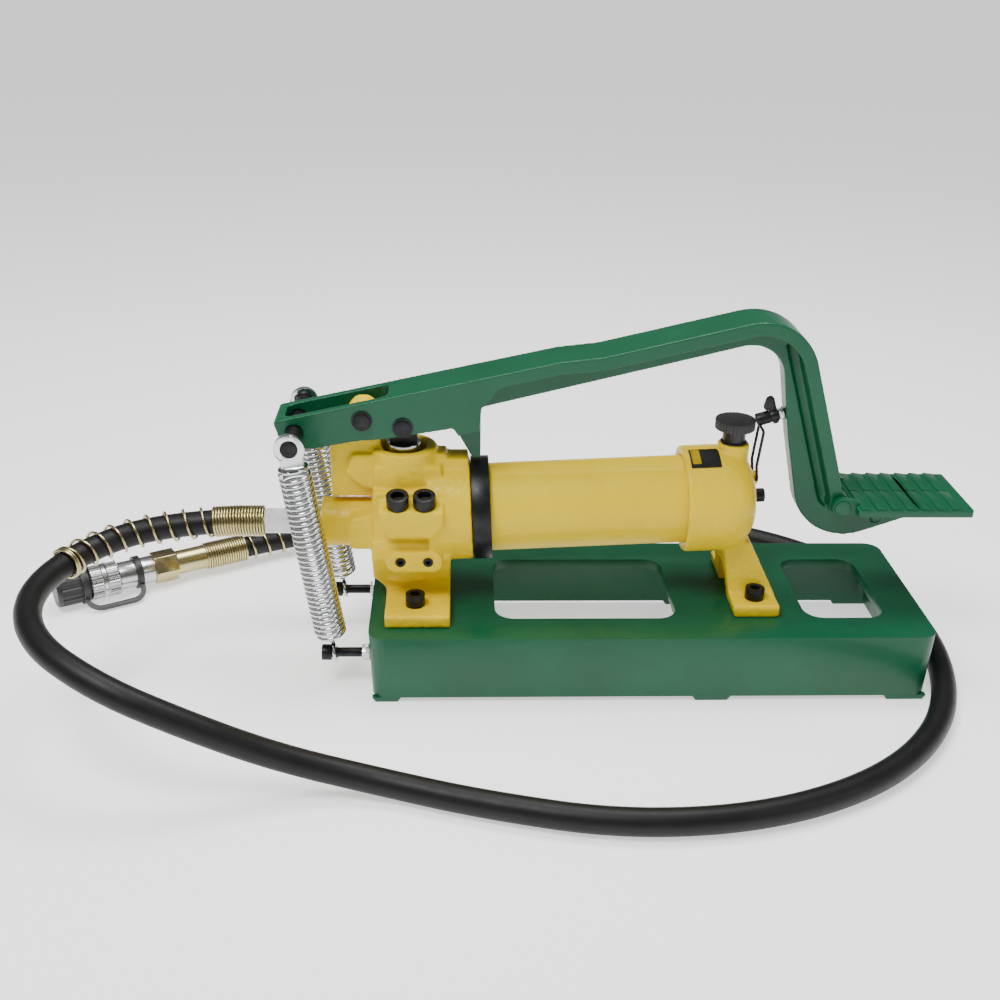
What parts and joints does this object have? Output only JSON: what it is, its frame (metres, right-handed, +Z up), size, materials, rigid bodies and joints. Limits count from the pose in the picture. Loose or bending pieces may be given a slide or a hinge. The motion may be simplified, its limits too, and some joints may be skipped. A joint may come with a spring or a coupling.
{
  "type": "foot pump",
  "caption": "Foot-operated hydraulic pump: lever with folding pedal over a tube reservoir on a low tray, with return springs and a coupler hose.",
  "frame": {"origin": "middle of the pump's footprint, on the floor, measured without the hose", "axes": "+X from the lever's fulcrum to the pedal, +Y to the side away from the valve plugs, +Z up"},
  "size_m": [0.8021, 0.5175, 0.3029],
  "materials": {
    "green_paint": "glossy enamel on a casting",
    "yellow_paint": "glossy enamel on a rough casting",
    "black_oxide": "black oxide",
    "bright_zinc": "bright zinc plate",
    "gold_zinc": "yellow zinc plate",
    "chrome": "polished",
    "brass": "turned",
    "rubber": "moulded",
    "hose_rubber": "satin hose cover",
    "black_plastic": "moulded"
  },
  "bodies": {
    "pump": {"base_tray": "green_paint", "pump_body": "yellow_paint", "rear_cap": "yellow_paint", "reservoir_tube": "yellow_paint", "anchor_bolts": "black_oxide", "anchor_nuts": "bright_zinc", "body_foot_bolts": "black_oxide", "valve_plugs": "black_oxide", "relief_screws": "black_oxide", "reservoir_ring": "black_oxide", "cap_foot_bolts": "black_oxide", "tie_bolt": "black_oxide", "fulcrum_pin": "black_oxide", "fulcrum_clips": "black_oxide", "valve_balls": "chrome", "valve_springs": "chrome", "front_return_spring": "chrome", "rear_return_spring": "chrome", "spring_hooks": "bright_zinc", "plunger_gland": "bright_zinc", "plunger_seal": "rubber", "front_tube_seal": "rubber", "rear_tube_seal": "rubber", "tie_seal": "rubber", "vent_seal": "rubber", "dust_strap": "black_plastic", "suction_pipe": "brass", "suction_filter": "brass", "outlet_adapter": "bright_zinc", "pump_ferrule": "gold_zinc", "pump_guard": "gold_zinc", "hose": "hose_rubber", "coupler_guard": "gold_zinc", "coupler_ferrule": "gold_zinc", "swivel_nut": "gold_zinc", "coupler_body": "bright_zinc", "coupler_poppet": "bright_zinc"},
    "lever": {"foot_lever": "green_paint", "plunger_pin": "black_oxide", "plunger_pin_clips": "black_oxide", "spring_cross_pin": "black_oxide", "latch_bolt": "black_oxide", "latch_nut": "bright_zinc", "pedal_pin": "green_paint", "pedal_stop_pin": "green_paint"},
    "plunger": {"plunger": "chrome", "plunger_head": "black_oxide"},
    "front_clip": {"front_spring_clip": "chrome"},
    "rear_clip": {"rear_spring_clip": "chrome"},
    "pedal": {"pedal": "green_paint"},
    "wing_nut": {"latch_wing": "black_oxide"},
    "bail": {"latch_bail": "black_oxide"},
    "vent_cap": {"vent_cap": "black_plastic"},
    "release_valve": {"release_stem": "bright_zinc", "release_knob": "black_plastic"},
    "collar": {"coupler_collar": "bright_zinc"},
    "dust_cap": {"dust_cap": "black_plastic"}
  },
  "joints": [
    {"name": "lever_swing", "type": "hinge", "parent": "pump", "child": "lever", "pos_m": [-0.2125, 0, 0.2215], "axis": [0, -1, 0], "range_deg": [0, 28], "deforming": ["front_return_spring", "rear_return_spring"]},
    {"name": "plunger_slide", "type": "slide", "parent": "pump", "child": "plunger", "axis": [0, 0, 1], "range_m": [0, 0.0158]},
    {"name": "front_clip_turn", "type": "hinge", "parent": "lever", "child": "front_clip", "pos_m": [-0.266, -0.054, 0.211], "axis": [0, -1, 0], "range_deg": [-31, 0]},
    {"name": "rear_clip_turn", "type": "hinge", "parent": "lever", "child": "rear_clip", "pos_m": [-0.266, 0.054, 0.211], "axis": [0, -1, 0], "range_deg": [-31, 0]},
    {"name": "pedal_fold", "type": "hinge", "parent": "lever", "child": "pedal", "pos_m": [0.1775, 0, 0.149], "axis": [0, -1, 0], "range_deg": [0, 56]},
    {"name": "wing_nut_turn", "type": "hinge", "parent": "lever", "child": "wing_nut", "pos_m": [0.128, 0, 0.222], "axis": [-0.9552, 0, -0.2961], "continuous": true},
    {"name": "bail_swing", "type": "hinge", "parent": "pump", "child": "bail", "pos_m": [0.1096, 0, 0.165], "axis": [0, -1, 0], "range_deg": [-22, 3]},
    {"name": "vent_cap_turn", "type": "hinge", "parent": "pump", "child": "vent_cap", "pos_m": [0.0889, 0, 0.196], "axis": [0, 0, 1], "range_deg": [0, 360]},
    {"name": "release_knob_turn", "type": "hinge", "parent": "pump", "child": "release_valve", "pos_m": [-0.18, 0.04, 0.138], "axis": [0, 1, 0], "range_deg": [0, 360]},
    {"name": "coupler_collar_turn", "type": "hinge", "parent": "pump", "child": "collar", "pos_m": [-0.46513, 0.09393, 0.0184], "axis": [-0.8713, -0.4907, 0], "continuous": true},
    {"name": "dust_cap_pull", "type": "slide", "parent": "pump", "child": "dust_cap", "axis": [-0.8713, -0.4907, 0], "range_m": [0, 0.012]}
  ],
  "couplings": [
    {"joint": "plunger_slide", "follows": "lever_swing", "m_per_rad": 0.0321},
    {"joint": "front_clip_turn", "follows": "lever_swing", "ratio": -1.1},
    {"joint": "rear_clip_turn", "follows": "lever_swing", "ratio": -1.1}
  ]
}
